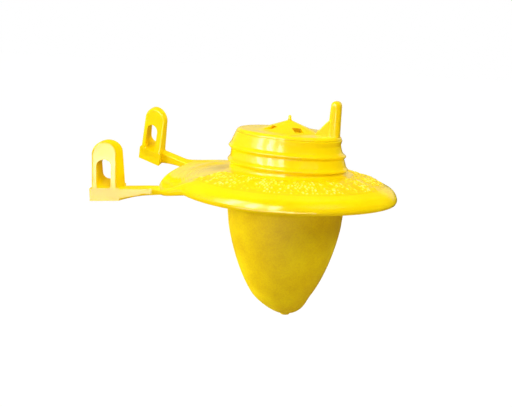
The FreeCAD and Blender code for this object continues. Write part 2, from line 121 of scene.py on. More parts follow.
PATCH_LOW = 0.2                 # below this much of the patches' noise nothing stands up
PATCH_RANGE = 0.4               # and this much above that the pebbles are whole
WEB_RIDGES = (33.0, 45.6)       # radii between which the web's top is finely ribbed
RIDGE_PITCH = 1.4
RIDGE_HEIGHT = 0.13

# --- arms -----------------------------------------------------------------------------------------
ARM_BEARING = 19.6
LUG_REACH = 68.2
HINGE_R = 50.4
ARM_WIDTH = 4.2
ARM_ROOT_DEPTH = 2.2
ARM_WAIST_DEPTH = 3.0
ARM_WAIST = 0.10                # share of the arm's length up to which it stays that thin
ARM_END_DEPTH = 5.0
ARM_FULL = 0.74                 # share of its length from which it is that deep
ARM_SWELL = 1.8                 # power by which it deepens in between
ARM_SQUARENESS = 0.3            # 1 is an oval section, 0 a box
BEND_LENGTH = 0.8               # over which it bends up to its set
ROOT_SUNK = 6.5                 # how far the root goes on inwards from the hinge, into the web
ROOT_RUNOUT = 0.35              # share of that length, out past the hinge, where its spread ends
ROOT_WIDTH = 8.2
ROOT_THINNING = 1.6             # how much shallower than the arm the root gets
ROOT_DROP = 0.15                # how far it lies below the web's top
FRONT_ARM_SET = 0.8
REAR_ARM_SET = 10.0
BLOCK_LENGTH = 10.4
BLOCK_DEPTH = 6.8
BLOCK_HEIGHT = 5.0
LUG_WIDTH = 9.7
LUG_HEIGHT = 17.9
LUG_TIP_DEPTH = 3.7
LUG_SUNK = 2.5                  # how far the lug's foot goes into the block
LUG_CORNER = 0.4                # rounding of that foot's corners
LUG_ROUND = 0.8                 # rounding of the lug's outer edge, front and rear
LUG_NARROWING = 0.15            # how much narrower the front lug's inner half is at its front
LUG_SHIFT = 0.3                 # how far the lug stands from the block's middle towards the arm
SLOT_WIDTH = 5.1
SLOT_HEIGHT = 11.0
SLOT_CORNER = 0.9               # rounding of the slot's foot at its front
SLOT_SHIFT = -0.5               # the slot sits a little nearer the free end of the block
SILL_RISE = 1.9                 # how much higher the slot's rounded floor is at its rear end
ARM_EDGE = 0.45                 # rounding of every other edge

# --- cap ------------------------------------------------------------------------------------------
CAP_R = 20.05
CAP_FLANGE = 1.4
CAP_ROUND = 1.9                 # how far in from the flange's edge its rounding starts
CAP_WALL = 1.4
CAP_TOP_Z = COLLAR_TOP_Z + CAP_FLANGE
PLUG_R = 17.3
PLUG_DEPTH = 5.8
SOCKET_R = 9.95
SOCKET_DEPTH = 3.9
ROOF_R = 12.0
ROOF_APEX_Z = 29.6
NUB_R = 0.6
NUB_HEIGHT = 1.7
NUB_ROUND = 0.5
VENT_BEARINGS = (54.0, 130.0)   # each to both sides
VENT_REACH = (5.5, 12.5)        # radii between which a vent cuts through
VENT_WIDTH = 3.6
VENT_HEIGHT = 1.5
VENT_SILL = 0.35                # its foot above the flange's top
TAB_FOOT = (17.25, 4.5)         # middle along X, and thickness
TAB_CROWN = (17.8, 3.6)
TAB_WIDTH = 6.6
TAB_TOP_Z = 38.3
TAB_ROUND = 1.7                 # height of its rounded crown
TAB_EDGE = 1.7                  # 2 rounds the crown's edge fully, less leaves it flatter
TAB_SQUARENESS = 0.62           # 1 is an oval section, 0 a box
TAB_SUNK = 0.8                  # how far the tab goes into the flange
GUSSET_FOOT_X = 10.4
GUSSET_TOP_Z = 30.3
GUSSET_WIDTH = 6.0
GUSSET_SUNK = 0.6
GUSSET_EDGE = 0.8

# --- cup ------------------------------------------------------------------------------------------
CUP_R = 22.6
CUP_WALL = 1.5
CUP_BARREL_DRAFT = 0.75
CUP_BARREL_Z = -9.6
CUP_TIP_Z = -46.0
NOSE_FULLNESS = 1.27            # more keeps the nose wide for longer
NOSE_POINT = 0.475              # 0.5 is a round tip, less a blunter one
GATE_R = 1.8
GATE_HEIGHT = 0.5
TIP_SHIFT = 1.9                 # how far the nose's tip stands towards +X
TIP_SHARE = 0.22                # lowest share of the nose, over which it moves there

# --- camera ---------------------------------------------------------------------------------------
CAMERA_PLACE = (92.0, -376.0, 61.8)
CAMERA_AIM = (-11.8, 0.0, -3.9)
CAMERA_ROLL = 2.63              # degrees
LENS = 71.6
SENSOR = 36.0

# --- studio ---------------------------------------------------------------------------------------
FLOOR_DROP = 120.0              # from the cup's tip down to the floor
FLOOR_SIZE = 6.0                # half of its side, in metres
FLOOR_COLOUR = (0.45, 0.38, 0.28)
HORIZON_LIGHT = 1.9
OVERHEAD_LIGHT = 0.4
SHADED_SIDE = 0.1               # share of the room's light that comes from the far right
MIRRORED_ROOM = 0.08            # share of the room that shows as a reflection
LEFT_TINT = (1.0, 0.98, 0.95)
RIGHT_TINT = (1.0, 0.82, 0.66)
# lights that look at the trap: name, bearing and elevation in degrees, distance, width and
# height in metres, and watts.  The fills light it, and the cards only show as reflections.
FILLS = (("key", -125.0, 42.0, 0.8, 0.5, 0.4, 1.0),
         ("low_left", -165.0, 6.0, 0.9, 0.5, 0.4, 4.6),
         ("right", -25.0, 45.0, 0.9, 0.5, 0.5, 6.0),
         ("back", 100.0, 62.0, 0.9, 0.6, 0.6, 3.3))
CARDS = (("pane_left", -134.0, 29.0, 0.8, 0.15, 0.6, 2.8),
         ("pane_middle", -111.0, 29.0, 0.8, 0.12, 0.6, 2.8),
         ("pane_right", -88.0, 29.0, 0.8, 0.14, 0.6, 2.8),
         ("haze", -125.0, 25.0, 0.85, 0.9, 0.5, 3.5),
         ("far_card", 104.0, 13.0, 0.9, 1.3, 0.32, 0.45),
         ("front_card", -88.0, -21.0, 0.32, 0.5, 0.11, 1.3),
         ("tab_card", -79.0, -8.0, 0.32, 0.14, 0.08, 0.3))


def to_world(points):
    """Points in millimetres about the trap's axis, as metres in the frame."""
    return np.asarray(points, float) * MM + DATUM


def mesh_object(name, points, faces, material, slot_name):
    """A smooth piece from points in millimetres, with its finish."""
    mesh = bpy.data.meshes.new(name)
    mesh.from_pydata([tuple(p) for p in to_world(points)], [], faces)
    mesh.update()
    for face in mesh.polygons:
        face.use_smooth = True
    mesh.materials.append(material)
    piece = bpy.data.objects.new(name, mesh)
    bpy.context.scene.collection.objects.link(piece)
    return piece


# faces of a box given by its four lower corners and its four upper ones, both counterclockwise
BOX_FACES = [(3, 2, 1, 0), (4, 5, 6, 7), (0, 1, 5, 4), (1, 2, 6, 5), (2, 3, 7, 6), (3, 0, 4, 7)]


def grid_faces(rows, columns, closed_rows=False):
    """Quads over rows of points, each row closed on itself, the rows closed too where said."""
    faces = []
    for row in range(rows if closed_rows else rows - 1):
        below = (row + 1) % rows
        for column in range(columns):
            beside = (column + 1) % columns
            faces.append((row * columns + column, row * columns + beside,
                          below * columns + beside, below * columns + column))
    return faces


def revolved(path, columns):
    """Points of a section carried round the axis, a row for each of its spots."""
    turns = np.linspace(0, 2 * math.pi, columns, endpoint=False)
    return np.stack([path[:, :1] * np.cos(turns), path[:, :1] * np.sin(turns),
                     np.repeat(path[:, 1:], columns, axis=1)], axis=-1).reshape(-1, 3)


def smooth_step(share):
    share = np.clip(share, 0.0, 1.0)
    return share * share * (3 - 2 * share)


def spline(stops, samples):
    """A Catmull-Rom curve through rows of numbers, with the given samples to each span."""
    stops = np.asarray(stops, float)
    ends = np.vstack([2 * stops[0] - stops[1], stops, 2 * stops[-1] - stops[-2]])
    rows = []
    for span in range(len(stops) - 1):
        a, b, c, d = ends[span:span + 4]
        for step in range(samples):
            t = step / samples
            rows.append(0.5 * (2 * b + (c - a) * t + (2 * a - 5 * b + 4 * c - d) * t ** 2
                               + (3 * b - a - 3 * c + d) * t ** 3))
    rows.append(stops[-1])
    return np.array(rows)


# --- materials ------------------------------------------------------------------------------------

class Nodes:
    """Shorthand for building the nodes of a material or a world, its owner."""

    def __init__(self, owner, output="ShaderNodeOutputMaterial"):
        owner.use_nodes = True
        self.tree = owner.node_tree
        self.tree.nodes.clear()
        self.output = self.tree.nodes.new(output)

    def add(self, kind, inputs=None, **settings):
        node = self.tree.nodes.new(kind)
        for key, value in settings.items():
            setattr(node, key, value)
        for key, value in (inputs or {}).items():
            if isinstance(value, bpy.types.NodeSocket):
                self.tree.links.new(value, node.inputs[key])
            else:
                node.inputs[key].default_value = value
        return node

    def math(self, operation, a, b=0.0, clamp=False):
        return self.add("ShaderNodeMath", {0: a, 1: b}, operation=operation,
                        use_clamp=clamp).outputs[0]

    def mix(self, share, a, b):
        node = self.tree.nodes.new("ShaderNodeMix")
        node.data_type = "RGBA"
        for key, value in (("Factor", share), ("A", a), ("B", b)):
            socket = next(s for s in node.inputs if s.name == key and s.enabled)
            if isinstance(value, bpy.types.NodeSocket):
                self.tree.links.new(value, socket)
            else:
                socket.default_value = (*value, 1.0)
        return next(s for s in node.outputs if s.enabled)

    def ramp(self, value, stops):
        node = self.add("ShaderNodeValToRGB", {"Fac": value})
        elements = node.color_ramp.elements
        while len(elements) < len(stops):
            elements.new(0.5)
        for element, (place, colour) in zip(elements, stops):
            element.position = place
            element.color = (*colour, 1.0)
        return node.outputs["Color"]

    def blend(self, share, first, second):
        return self.add("ShaderNodeMixShader", {0: share, 1: first, 2: second}).outputs["Shader"]

    def finish(self, shader):
        self.tree.links.new(shader, self.output.inputs["Surface"])


def moulded_plastic(name, colour, shade, roughness, grain, grain_size, waviness=0.3, gloss=0.5,
                    pebbled=False):
    """Injection-moulded plastic: uneven tone, cloudy gloss, slow waves and a fine skin texture.

    colour and shade are the lighter and darker linear tones.  grain and waviness are depths in
    millimetres, and grain_size is the width of the fine texture.  A pebbled mesh carries the
    attribute "pebble", from -1 in the valleys over 0 outside the band to 1 on the tops; the tops
    get a painted highlight and the valleys a painted shade.
    """
    material = bpy.data.materials.new(name)
    nodes = Nodes(material)
    place = nodes.add("ShaderNodeTexCoord").outputs["Object"]
    cloud = nodes.add("ShaderNodeTexNoise", {"Vector": place, "Scale": 60.0, "Detail": 3.0,
                                             "Roughness": 0.55}).outputs["Fac"]
    wave = nodes.add("ShaderNodeTexNoise", {"Vector": place, "Scale": 150.0,
                                            "Detail": 1.0}).outputs["Fac"]
    speck = nodes.add("ShaderNodeTexNoise", {"Vector": place, "Scale": 0.6 / (grain_size * MM),
                                             "Detail": 4.0, "Roughness": 0.6}).outputs["Fac"]
    tone = nodes.math("ADD", nodes.math("MULTIPLY", cloud, 0.65),
                      nodes.math("MULTIPLY", speck, 0.35))
    base = nodes.ramp(tone, ((0.36, shade), (0.60, colour)))
    if pebbled:
        # the pebbles' tops get a painted highlight, a pale tint that stands in for glints, and
        # their valleys a painted shade
        height = nodes.add("ShaderNodeAttribute", attribute_name="pebble").outputs["Fac"]
        base = nodes.mix(nodes.math("MULTIPLY", height, 0.75, clamp=True), base, PEBBLE_TOP_HIGHLIGHT)
        base = nodes.mix(nodes.math("MULTIPLY", height, -0.8, clamp=True), base, PEBBLE_VALLEY_SHADE)
    rough = nodes.add("ShaderNodeMapRange", {"Value": cloud, "From Min": 0.3, "From Max": 0.7,
                                             "To Min": roughness * 0.85,
                                             "To Max": roughness * 1.2}).outputs["Result"]
    sunk = nodes.add("ShaderNodeBump", {"Height": wave, "Strength": 0.5,
                                        "Distance": waviness * MM}).outputs["Normal"]
    bump = nodes.add("ShaderNodeBump", {"Height": speck, "Strength": 0.6, "Normal": sunk,
                                        "Distance": grain * MM}).outputs["Normal"]
    shader = nodes.add("ShaderNodeBsdfPrincipled", {
        "Base Color": base, "Roughness": rough, "Normal": bump})
    shader.inputs["IOR"].default_value = 1.49
    shader.inputs["Specular IOR Level"].default_value = gloss
    shader.inputs["Subsurface Weight"].default_value = 0.12
    shader.inputs["Subsurface Radius"].default_value = (1.0, 0.75, 0.08)
    shader.inputs["Subsurface Scale"].default_value = 1.2 * MM
    nodes.finish(shader.outputs["BSDF"])
    return material


# painted highlight for the pebbles' tops and painted shade for their valleys
PEBBLE_TOP_HIGHLIGHT = (1.0, 0.88, 0.22)
PEBBLE_VALLEY_SHADE = (0.84, 0.58, 0.001)
HOOD_PLASTIC = moulded_plastic("hood_plastic", (0.99, 0.735, 0.001), (0.95, 0.68, 0.001),
                               0.14, 0.03, 0.9, pebbled=True)
CAP_PLASTIC = moulded_plastic("cap_plastic", (0.99, 0.72, 0.001), (0.95, 0.66, 0.001),
                              0.18, 0.03, 0.8)
RING_PLASTIC = moulded_plastic("ring_plastic", (0.90, 0.66, 0.003), (0.80, 0.55, 0.002),
                               0.32, 0.05, 0.8)
CAGE_PLASTIC = moulded_plastic("cage_plastic", (0.90, 0.70, 0.03), (0.82, 0.60, 0.02),
                               0.34, 0.05, 0.8)
CUP_PLASTIC = moulded_plastic("cup_plastic", (0.96, 0.76, 0.001), (0.78, 0.53, 0.001),
                              0.55, 0.15, 0.4, waviness=0.1, gloss=0.08)
LURE_RUBBER = moulded_plastic("lure_rubber", (0.42, 0.20, 0.11), (0.33, 0.15, 0.08),
                              0.7, 0.1, 0.5, waviness=0.1, gloss=0.3)


# --- hood -----------------------------------------------------------------------------------------

def web_share(bearings, fade):
    """How far each bearing belongs to the web: 1 towards -X, and 0 in the round brim."""
    away = np.abs(bearings % 360 - 180)
    return smooth_step((WEB_SPREAD + fade - away) / fade)


def neck_path():
    """Section of the neck from the bore's foot up inside, over the collar and down outside.

    Returns the rows that lie in the threaded wall, and the path.
    """
    path = [(BORE_R, NECK_FOOT_Z - BRIM_WALL)]
    path += [(BORE_R, height) for height in BORE_ROWS]
    path += [(MOUTH_R, MOUTH_LAND_Z), (MOUTH_R, COLLAR_TOP_Z - MOUTH_CHAMFER),
             (MOUTH_R + MOUTH_CHAMFER, COLLAR_TOP_Z)]
    for angle in (90, 65, 40, 15):
        turn = math.radians(angle)
        path.append((COLLAR_R - COLLAR_EDGE + COLLAR_EDGE * math.cos(turn),
                     COLLAR_TOP_Z - COLLAR_EDGE + COLLAR_EDGE * math.sin(turn)))
    above = len(path)
    heights, radii = zip(*NECK_WALL_STOPS)
    for height in np.linspace(heights[-1], heights[0], NECK_ROWS):
        path.append((float(np.interp(height, heights, radii)), float(height)))
    fillet_z = min(NECK_FOOT_Z + FOOT_FILLET, heights[0])
    for angle in (20, 40, 60, 75):
        turn = math.radians(angle)
        path.append((NECK_R + FOOT_FILLET * (1 - math.cos(turn)),
                     fillet_z - FILLET_HEIGHT * math.sin(turn)))
    return slice(above, above + NECK_ROWS), np.array([(r, z, 0.0, z) for r, z in path])


def thread_relief(heights, bearings):
    """How far the thread stands out of the neck's wall at each height (rows) and bearing."""
    turned = ((bearings - THREAD_START) % 360) / 360
    foot = smooth_step((heights - NECK_WALL_STOPS[0][0] + 0.1) / THREAD_RUNOUT)
    relief = np.zeros((len(heights), len(bearings)))
    for number, shown in ((0, smooth_step(turned / THREAD_FADE)),
                          (1, smooth_step((1 - turned) / THREAD_FADE))):
        crest = THREAD_TOP_Z - THREAD_PITCH * (turned + number)
        over = (heights[:, None] - crest[None, :]) / THREAD_PITCH
        bead = np.cos(np.clip(over / THREAD_HALF, -1, 1) * math.pi / 2).clip(0) ** THREAD_KEENNESS
        swing = np.clip(1 - over / FLARE_REACH, 0, 1) ** 2 * smooth_step(1 + over / THREAD_HALF)
        relief = np.maximum(relief, shown * (THREAD_PROUD * bead + FLARE_PROUD * swing))
    return relief * foot[:, None]


def top_ring(share):
    """Stop on the brim's top, from the neck at share 0 out to the lip at 1, as in brim_path."""
    run = LIP_R - NECK_R
    height = NECK_FOOT_Z - BRIM_DROP * (1 - BRIM_DOME * (1 - share)) * share
    web_z = NECK_FOOT_Z - (NECK_FOOT_Z - WEB_TOP_Z) * WEB_FALL * share
    return (NECK_R + run * share, height, WEB_START * share ** 2, web_z)


def brim_path():
    """Section of the brim from the fillet out to the lip and back under to the bore.

    Each stop is (radius, height, share of the web's reach, height in the web).
    """
    lip_z = NECK_FOOT_Z - BRIM_DROP
    bulge = BRIM_R - LIP_R
    web_floor = WEB_TOP_Z - WEB_WALL
    top = spline([top_ring(share) for share in (0.125, 0.35, 0.7, 0.88)], 26)[:-1]
    lip = spline([
        top_ring(0.88),
        (LIP_R, lip_z, WEB_START, WEB_TOP_Z + 0.4 * WEB_WALL),
        (LIP_R + 0.55 * bulge, lip_z * 0.78, 0.88, WEB_TOP_Z + 0.15 * WEB_WALL),
        (LIP_R + 0.87 * bulge, lip_z * 0.5, 0.97, WEB_TOP_Z),
        (BRIM_R, lip_z * 0.22, 1.0, WEB_TOP_Z - 0.35 * WEB_WALL),
        (BRIM_R - 0.15 * LIP_UNDERCUT, lip_z * 0.03, 1.0, WEB_TOP_Z - 0.8 * WEB_WALL),
        (BRIM_R - 0.3 * LIP_UNDERCUT, 0.0, 0.97, web_floor),
        (BRIM_R - LIP_UNDERCUT, lip_z * 0.03, 0.9, web_floor),
        (LIP_R + 0.2 * bulge, lip_z * 0.45, 0.8, web_floor + 0.1 * WEB_WALL),
        (LIP_R - 0.6 * BRIM_WALL, lip_z - 0.75 * BRIM_WALL, 0.6, web_floor + 0.35 * WEB_WALL)],
        LIP_SAMPLES)
    under = []
    for share in (0.7, 0.35, 0.0):
        radius, height, reach, web_z = top_ring(share)
        under.append((radius, height - BRIM_WALL, reach, web_z - BRIM_WALL))
    return len(top), np.vstack([top, lip, spline([lip[-1]] + under, 6)[1:]])


def pebbles(radii, bearings):
    """Height, 0 to 1, of a generic pebbled skin at each radius (rows) and bearing (columns)."""
    middle = sum(PEBBLE_BAND) / 2
    heights = np.zeros((len(radii), len(bearings)))
    for row, radius in enumerate(radii):
        if PEBBLE_BAND[0] < radius < PEBBLE_BAND[1]:
            depth_in = min(radius - PEBBLE_BAND[0], PEBBLE_BAND[1] - radius)
            fade = smooth_step(depth_in / PEBBLE_FADE)
            for column, bearing in enumerate(bearings):
                turn = math.radians(bearing)
                # the cells' sizes hold at the middle of the band
                spot = Vector((math.cos(turn) * middle / PEBBLE_SIZE[0],
                               math.sin(turn) * middle / PEBBLE_SIZE[0],
                               radius / PEBBLE_SIZE[1]))
                near, far = noise.voronoi(spot)[0][:2]
                cell = smooth_step((far - near) / PEBBLE_GROOVE)
                patch = 0.5 + 0.5 * noise.noise(spot * PATCH_SCALE)
                pebble = cell * smooth_step((patch - PATCH_LOW) / PATCH_RANGE)
                # valleys keep a trace of height, which tells them from the skin beside the band, so
                # that only they take the painted shade
                heights[row, column] = fade * (0.02 + 0.98 * pebble)
    return heights


def build_hood():
    """Sweeps the hood's section round the axis, drawn out into the web towards -X."""
    bearings = np.arange(0, 360, 0.5)
    share = web_share(bearings, WEB_FADE)
    twist = np.where(bearings > 180, share, web_share(bearings, REAR_FADE))
    rise = (1 - share) * EDGE_RISE * web_share(bearings, RISE_FADE)
    wall, neck = neck_path()
    top_count, brim = brim_path()
    path = np.vstack([neck, brim])
    turn = np.radians(bearings)
    radius = path[:, :1] + share * path[:, 2:3] * (WEB_R - BRIM_R)
    radius[wall] += thread_relief(path[wall, 1], bearings)
    x = radius * np.cos(turn)
    y = radius * np.sin(turn)
    height = path[:, 1:2]
    x[wall] -= NECK_BOW * (smooth_step((COLLAR_TOP_Z - height[wall]) / BOW_FALL)
                           * smooth_step((height[wall] - BOW_FOOT_Z) / BOW_RISE))
    lean = twist * math.tan(math.radians(WING_TWIST))
    slant = COLLAR_SLANT * smooth_step((height - SLANT_FOOT_Z) / (COLLAR_TOP_Z - SLANT_FOOT_Z)) * x
    z = height + share * (path[:, 3:] - height) + path[:, 2:3] * (rise + lean * y) - slant

    # the texture reaches over the lip's first span
    top = slice(len(neck), len(neck) + top_count + LIP_SAMPLES)
    round_part = 1 - smooth_step(share / 0.6)
    skin = pebbles(path[top, 0], bearings) * round_part
    z[top] += PEBBLE_DEPTH * skin
    inside = smooth_step(radius[top] - WEB_RIDGES[0]) * smooth_step(WEB_RIDGES[1] - radius[top])
    ridge = (0.5 + 0.5 * np.cos(2 * math.pi * radius[top] / RIDGE_PITCH)) ** 2
    z[top] += RIDGE_HEIGHT * inside * ridge * smooth_step((share - 0.6) / 0.4)

    points = np.stack([x, y, z], axis=-1).reshape(-1, 3)
    # this section runs up inside and down outside, so its faces are turned to look out
    faces = [face[::-1] for face in grid_faces(len(path), len(bearings), True)]
    shell = mesh_object("hood_shell", points, faces, HOOD_PLASTIC, "hood_plastic")
    # pebble heights, which the material turns into a painted highlight on the tops and a painted
    # shade in the valleys
    relief = np.zeros_like(z)
    relief[top] = np.where(skin > 0, 2 * skin - 1, 0)
    mark = shell.data.attributes.new("pebble", "FLOAT", "POINT")
    mark.data.foreach_set("value", relief.ravel().astype(np.float32))
    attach(shell, "hood")
    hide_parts("hood")


# --- strap arms -----------------------------------------------------------------------------------

def polar(radius, bearing, height=0.0):
    turn = math.radians(bearing)
    return Vector((radius * math.cos(turn), radius * math.sin(turn), height))


def turn_about(pivot, axis, degrees):
    return (Matrix.Translation(pivot) @ Matrix.Rotation(math.radians(degrees), 4, axis)
            @ Matrix.Translation(-pivot))


def across(x, depth, side):
    """The y of an arm-wise face that stands off the arm's middle plane by depth, at x."""
    lean = math.radians(side * ARM_BEARING)
    return (depth - x * math.sin(lean)) / math.cos(lean)


def arch(width, height, foot_z, corner):
    """Closed outline: upright sides, a full round top and a foot with rounded corners."""
    half = width / 2
    spring = height - half
    side_steps = 7
    arc_steps = 24
    corner_steps = 6
    right = [((half - corner) * step / 3, foot_z) for step in range(3)]
    for step in range(corner_steps):
        turn = math.pi / 2 * step / corner_steps
        right.append((half - corner + corner * math.sin(turn),
                      foot_z + corner - corner * math.cos(turn)))
    low = foot_z + corner
    right += [(half, low + (spring - low) * step / side_steps) for step in range(side_steps)]
    for step in range(arc_steps // 2):
        turn = math.pi / 2 * step / (arc_steps // 2)
        right.append((half * math.cos(turn), spring + half * math.sin(turn)))
    left = [(-x, z) for x, z in reversed(right[1:])]
    return right + [(0.0, height)] + left


def lug_mesh(side):
    """Slotted lug with its foot sunk a little into the block: points and quads.

    The slot's floor rises and rounds off towards the rear, so the way through is an oval.
    """
    rings = [(arch(SLOT_WIDTH, SLOT_HEIGHT, 0.05, SLOT_CORNER), SLOT_SHIFT, -1, 0.0)]
    rounding = 5
    for sign in (-1, 1):
        steps = range(rounding + 1) if sign < 0 else range(rounding, -1, -1)
        for step in steps:
            turn = math.pi / 2 * step / rounding
            inset = LUG_ROUND * (1 - math.sin(turn))
            body = arch(LUG_WIDTH - 2 * inset, LUG_HEIGHT - inset, -LUG_SUNK, LUG_CORNER)
            rings.append((body, 0.0, sign, LUG_ROUND * (1 - math.cos(turn))))
    rings.append((arch(SLOT_WIDTH, SLOT_HEIGHT, SILL_RISE, SLOT_WIDTH / 2), SLOT_SHIFT, 1, 0.0))
    points = []
    for outline, shift, sign, sunk in rings:
        for x, z in outline:
            share = max(z, 0) / LUG_HEIGHT
            half = (BLOCK_DEPTH + (LUG_TIP_DEPTH - BLOCK_DEPTH) * share) / 2
            depth = half - sunk
            if side < 0 and not shift and x > 0:
                x *= 1 - LUG_NARROWING * (1 - sign * depth / half) / 2
            x += shift + LUG_SHIFT
            points.append(Vector((x, across(x, sign * depth, side), z)))
    count = len(rings[0][0])
    faces = []
    for ring in range(len(rings)):
        after = (ring + 1) % len(rings)
        for i in range(count):
            j = (i + 1) % count
            faces.append((ring * count + i, after * count + i, after * count + j, ring * count + j))
    return points, faces


def block_mesh(side):
    """Block under a lug, with its faces along the arm and its ends square to X."""
    half = BLOCK_LENGTH / 2
    points = []
    for z in (-BLOCK_HEIGHT, 0):
        for x, sign in ((-half, -1), (half, -1), (half, 1), (-half, 1)):
            points.append(Vector((x, across(x, sign * BLOCK_DEPTH / 2, side), z)))
    return points, BOX_FACES


def rounded_box(width, depth, sides, squareness):
    """Corners of a closed outline between an oval, at squareness 1, and a box, at 0."""
    corners = []
    for corner in range(sides):
        turn = 2 * math.pi * corner / sides
        cosine, sine = math.cos(turn), math.sin(turn)
        corners.append((width / 2 * math.copysign(abs(cosine) ** squareness, cosine),
                        depth / 2 * math.copysign(abs(sine) ** squareness, sine)))
    return corners


def bar_mesh(side, set_angle):
    """Arm from its root inside the web out into the block, along +X with its hinge at 0.

    The root spreads and flattens into the web, and the arm bends up from it to its set.
    """
    length = LUG_REACH - HINGE_R
    top = ARM_ROOT_DEPTH / 2
    sides = 28
    stations = 46
    points = []
    for station in range(stations):
        along = -ROOT_SUNK + (length + ROOT_SUNK) * station / (stations - 1)
        out = along / length
        swell = min(max((out - ARM_WAIST) / (ARM_FULL - ARM_WAIST), 0.0), 1.0)
        depth = ARM_WAIST_DEPTH + (ARM_END_DEPTH - ARM_WAIST_DEPTH) * swell ** ARM_SWELL
        root = smooth_step(ROOT_RUNOUT - along / ROOT_SUNK)
        width = ARM_WIDTH + (ROOT_WIDTH - ARM_WIDTH) * root
        depth -= ROOT_THINNING * root
        slope = math.tan(math.radians(set_angle))
        climb = slope * BEND_LENGTH * math.log1p(math.exp(along / BEND_LENGTH))
        middle = top - depth / 2 - ROOT_DROP * root + climb
        for y, z in rounded_box(width, depth, sides, ARM_SQUARENESS):
            # the root spreads to the inner side only, so the arm's outer side runs on straight
            points.append(Vector((along, y - side * (width - ARM_WIDTH) / 2, middle + z)))
    faces = grid_faces(stations, sides)
    faces.append(tuple(range(sides - 1, -1, -1)))
    faces.append(tuple((stations - 1) * sides + corner for corner in range(sides)))
    return points, faces


def build_arm(name, side, set_angle):
    """Arm, block and lug as one piece: side is -1 for the front (-Y) and +1 for the rear."""
    bearing = 180 - side * ARM_BEARING
    offset = (BLOCK_DEPTH - ARM_WIDTH) / 2
    hinge = (polar(HINGE_R, bearing, WEB_TOP_Z - ARM_ROOT_DEPTH / 2)
             + polar(offset, side * (90 - ARM_BEARING)))
    foot = Matrix.Translation(polar(LUG_REACH, bearing, WEB_TOP_Z))
    raised = turn_about(hinge, polar(1, bearing).cross(UP), set_angle)
    twisted = turn_about(Vector((0, 0, WEB_TOP_Z)), Vector((1, 0, 0)), WING_TWIST)
    bar_place = Matrix.Translation(hinge) @ Matrix.Rotation(math.radians(bearing), 4, UP)
    points, faces = [], []
    for (part_points, part_faces), place in (
            (lug_mesh(side), twisted @ raised @ foot),
            (block_mesh(side), twisted @ raised @ foot),
            (bar_mesh(side, set_angle), twisted @ bar_place)):
        first = len(points)
        points += [tuple(place @ point) for point in part_points]
        faces += [tuple(first + corner for corner in face) for face in part_faces]
    arm = mesh_object(name + "_skin", points, faces, HOOD_PLASTIC, "hood_plastic")
    round_edges(arm, ARM_EDGE)
    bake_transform(arm)
    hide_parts(name)


def keep_result(piece):
    """Makes what the piece's modifiers give its own mesh."""
    graph = bpy.context.evaluated_depsgraph_get()
    result = bpy.data.meshes.new_from_object(piece.evaluated_get(graph), depsgraph=graph)
    piece.modifiers.clear()
    piece.data = result


def round_edges(piece, width):
    """Rounds the sharp edges and makes the result the piece's own mesh."""
    bevel = piece.modifiers.new("round", "BEVEL")
    bevel.width = width * MM
    bevel.segments = 4
    bevel.limit_method = "ANGLE"
    bevel.angle_limit = math.radians(40)
    bevel.harden_normals = False
    normals = piece.modifiers.new("normals", "WEIGHTED_NORMAL")
    normals.keep_sharp = False
    keep_result(piece)


# --- cap ------------------------------------------------------------------------------------------

def cap_path():
    """Closed section of the cap: cone, flange with its rounded edge, plug, socket, inside."""
    path = [(AXIS_R, ROOF_APEX_Z)]
    path += [(ROOF_R * share, ROOF_APEX_Z - (ROOF_APEX_Z - CAP_TOP_Z) * share)
             for share in (0.25, 0.5, 0.75, 0.96)]
    # the cone's foot runs softly into the flange
    path += [(ROOF_R * 1.03, CAP_TOP_Z + 0.02), (ROOF_R + 3.0, CAP_TOP_Z)]
    steps = 8
    for step in range(steps + 1):
        turn = math.pi / 2 * step / steps
        path.append((CAP_R - CAP_ROUND * (1 - math.sin(turn)),
                     CAP_TOP_Z - (CAP_FLANGE - 0.1) * (1 - math.cos(turn))))
    plug_in, socket_out = PLUG_R - CAP_WALL, SOCKET_R + CAP_WALL
    plug_z, socket_z = COLLAR_TOP_Z - PLUG_DEPTH, COLLAR_TOP_Z - SOCKET_DEPTH
    path += [(CAP_R - 0.2, COLLAR_TOP_Z),
             (PLUG_R, COLLAR_TOP_Z), (PLUG_R, plug_z), (plug_in, plug_z), (plug_in, COLLAR_TOP_Z),
             (socket_out, COLLAR_TOP_Z), (socket_out, socket_z), (SOCKET_R, socket_z),
             (SOCKET_R, COLLAR_TOP_Z - 0.4), (AXIS_R, ROOF_APEX_Z - CAP_WALL)]
    return np.array(path)


def cut_vents(body):
    """Cuts the vents through the cap's cone and keeps the result as the piece's own mesh."""
    points, faces = [], []
    near, far = VENT_REACH
    sill_z = CAP_TOP_Z + VENT_SILL
    for side in (-1, 1):
        for bearing in VENT_BEARINGS:
            spin = Matrix.Rotation(math.radians(side * bearing), 4, UP)
            first = len(points)
            for z in (sill_z, sill_z + VENT_HEIGHT):
                for x, y in ((near, -1), (far, -1), (far, 1), (near, 1)):
                    points.append(tuple(spin @ Vector((x, y * VENT_WIDTH / 2, z))))
            faces += [tuple(first + corner for corner in face) for face in BOX_FACES]
    cutter = mesh_object("vent_cutter", points, faces, CAP_PLASTIC, "cap_plastic")
    cut = body.modifiers.new("vents", "BOOLEAN")
    cut.operation = "DIFFERENCE"
    cut.solver = "EXACT"
    cut.object = cutter
    keep_result(body)
    bpy.data.objects.remove(cutter)
    body.data.set_sharp_from_angle(angle=math.radians(35))


